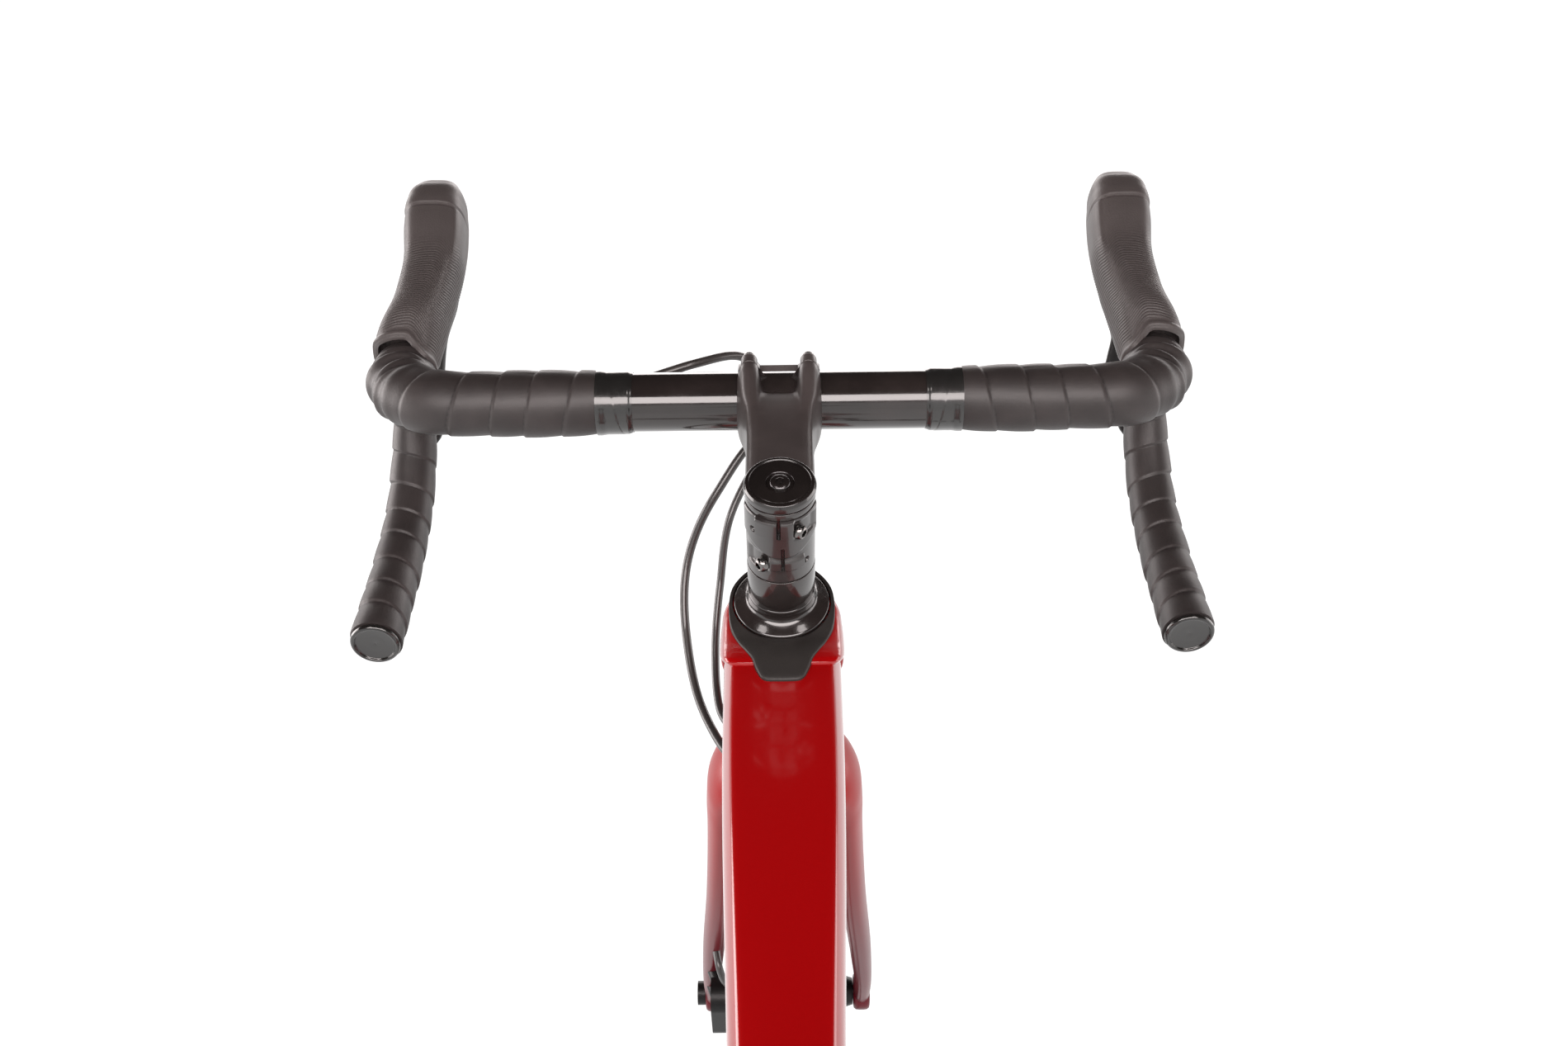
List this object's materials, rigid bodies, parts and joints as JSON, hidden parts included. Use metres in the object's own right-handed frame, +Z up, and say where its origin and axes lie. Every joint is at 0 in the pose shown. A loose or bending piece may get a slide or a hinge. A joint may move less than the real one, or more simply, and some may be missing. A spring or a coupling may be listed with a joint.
{
  "type": "cyclocross bicycle",
  "caption": "Single-rider drop-bar cyclocross bicycle with a red frame and fork, disc brakes, knobbly tyres and a single-ring chain drive; it steers, rolls, pedals, brakes and shifts.",
  "frame": {"origin": "on the ground, midway between the two wheel axles and in the plane of the wheels", "axes": "+Y forward, +Z up, +X to the rider's right, where the chain runs"},
  "size_m": [0.4792, 1.6905, 0.9743],
  "materials": {
    "red_lacquer": "gloss red lacquer over carbon composite",
    "fork_lacquer": "gloss lacquer that fades from red at the crown to near black at the tips",
    "gloss_black": "gloss black",
    "matte_black": "matte black anodised and painted alloy",
    "boot_rubber": "matte dark grey moulded rubber",
    "hood_rubber": "matte black rubber with fine moulded texture",
    "bar_tape": "matte black wound cork-foam tape",
    "tyre_rubber": "black tread with plain sidewalls",
    "saddle_cover": "matte black cover",
    "hose_black": "satin black hose jacket",
    "steel": "satin steel",
    "black_steel": "black coated steel",
    "alloy_black": "black anodised",
    "alloy_grey": "dark grey anodised",
    "plug_plastic": "satin black"
  },
  "bodies": {
    "frame": {"head_tube": "red_lacquer", "top_tube": "red_lacquer", "down_tube": "red_lacquer", "seat_tube": "red_lacquer", "chainstays": "red_lacquer", "seatstays": "red_lacquer", "derailleur_hanger": "alloy_black", "seat_clamp": "matte_black", "headset_bearings": "steel", "crank_bearings": "alloy_grey", "headset_boot": "boot_rubber", "rear_caliper": "alloy_black", "rear_axle": "alloy_black", "rear_brake_hose": "hose_black", "shift_housing": "hose_black", "chain": "steel", "derailleur_knuckle": "alloy_black", "derailleur_link": "alloy_black", "derailleur_cage": "alloy_black"},
    "guide_pulley": {"guide_pulley": "plug_plastic"},
    "tension_pulley": {"tension_pulley": "plug_plastic"},
    "seat": {"seatpost": "gloss_black", "saddle_clamp": "alloy_grey", "saddle_rails": "steel", "saddle": "saddle_cover"},
    "steering": {"fork_crown": "red_lacquer", "fork_legs": "fork_lacquer", "headset_cover": "gloss_black", "headset_spacers": "gloss_black", "stem": "matte_black", "stem_faceplate": "matte_black", "stem_bolts": "black_steel", "top_cap": "matte_black", "handlebar": "gloss_black", "bar_tape": "bar_tape", "bar_plugs": "plug_plastic", "hood_left": "hood_rubber", "hood_right": "hood_rubber", "front_caliper": "alloy_black", "front_axle": "alloy_black", "front_brake_hose": "hose_black"},
    "brake_lever_left": {"brake_lever_left": "gloss_black"},
    "brake_lever_right": {"brake_lever_right": "gloss_black"},
    "shift_paddle": {"shift_paddle": "gloss_black"},
    "front_wheel": {"front_tyre": "tyre_rubber", "front_rim": "gloss_black", "front_spokes": "black_steel", "front_hub": "alloy_black", "front_rotor": "steel"},
    "rear_wheel": {"rear_tyre": "tyre_rubber", "rear_rim": "gloss_black", "rear_spokes": "black_steel", "rear_hub": "alloy_black", "rear_rotor": "steel"},
    "cassette": {"cassette": "steel"},
    "crank": {"crank_right": "alloy_black", "crank_left": "alloy_black", "chainring": "alloy_grey"},
    "pedal_left": {"pedal_left": "alloy_grey"},
    "pedal_right": {"pedal_right": "alloy_grey"}
  },
  "joints": [
    {"name": "steering", "type": "hinge", "parent": "frame", "child": "steering", "pos_m": [0, 0.29821, 0.817], "axis": [0, -0.309, 0.9511], "range_deg": [-60, 60], "deforming": ["rear_brake_hose", "shift_housing"]},
    {"name": "front_wheel_spin", "type": "hinge", "parent": "steering", "child": "front_wheel", "pos_m": [0, 0.50132, 0.344], "axis": [1, 0, 0], "continuous": true},
    {"name": "rear_wheel_spin", "type": "hinge", "parent": "frame", "child": "rear_wheel", "pos_m": [0, -0.50132, 0.344], "axis": [1, 0, 0], "continuous": true},
    {"name": "crank_spin", "type": "hinge", "parent": "frame", "child": "crank", "pos_m": [0, -0.08179, 0.276], "axis": [1, 0, 0], "continuous": true, "deforming": ["chain"]},
    {"name": "cassette_spin", "type": "hinge", "parent": "frame", "child": "cassette", "pos_m": [0, -0.50132, 0.344], "axis": [1, 0, 0], "continuous": true},
    {"name": "guide_pulley_spin", "type": "hinge", "parent": "frame", "child": "guide_pulley", "pos_m": [0.0492, -0.48931, 0.244], "axis": [1, 0, 0], "continuous": true},
    {"name": "tension_pulley_spin", "type": "hinge", "parent": "frame", "child": "tension_pulley", "pos_m": [0.0492, -0.4526, 0.1786], "axis": [1, 0, 0], "continuous": true},
    {"name": "pedal_right_spin", "type": "hinge", "parent": "crank", "child": "pedal_right", "pos_m": [0.117, 0.09071, 0.276], "axis": [1, 0, 0], "continuous": true},
    {"name": "pedal_left_spin", "type": "hinge", "parent": "crank", "child": "pedal_left", "pos_m": [-0.117, -0.25429, 0.276], "axis": [1, 0, 0], "continuous": true},
    {"name": "brake_lever_left", "type": "hinge", "parent": "steering", "child": "brake_lever_left", "pos_m": [-0.208, 0.54742, 0.91261], "axis": [-1, 0, 0], "range_deg": [0, 22], "stiffness_Nm_per_rad": 2},
    {"name": "brake_lever_right", "type": "hinge", "parent": "steering", "child": "brake_lever_right", "pos_m": [0.208, 0.54742, 0.91261], "axis": [-1, 0, 0], "range_deg": [0, 22], "stiffness_Nm_per_rad": 2},
    {"name": "shift_paddle", "type": "hinge", "parent": "brake_lever_right", "child": "shift_paddle", "pos_m": [0.215, 0.53542, 0.88361], "axis": [0, 1, 0], "range_deg": [0, 25], "stiffness_Nm_per_rad": 0.5},
    {"name": "seatpost_slide", "type": "slide", "parent": "frame", "child": "seat", "axis": [0, -0.2756, 0.9613], "range_m": [-0.08, 0.04]}
  ],
  "couplings": [
    {"joint": "cassette_spin", "follows": "crank_spin", "ratio": 2.5},
    {"joint": "guide_pulley_spin", "follows": "crank_spin", "ratio": -3.6364},
    {"joint": "tension_pulley_spin", "follows": "crank_spin", "ratio": 3.6364}
  ]
}
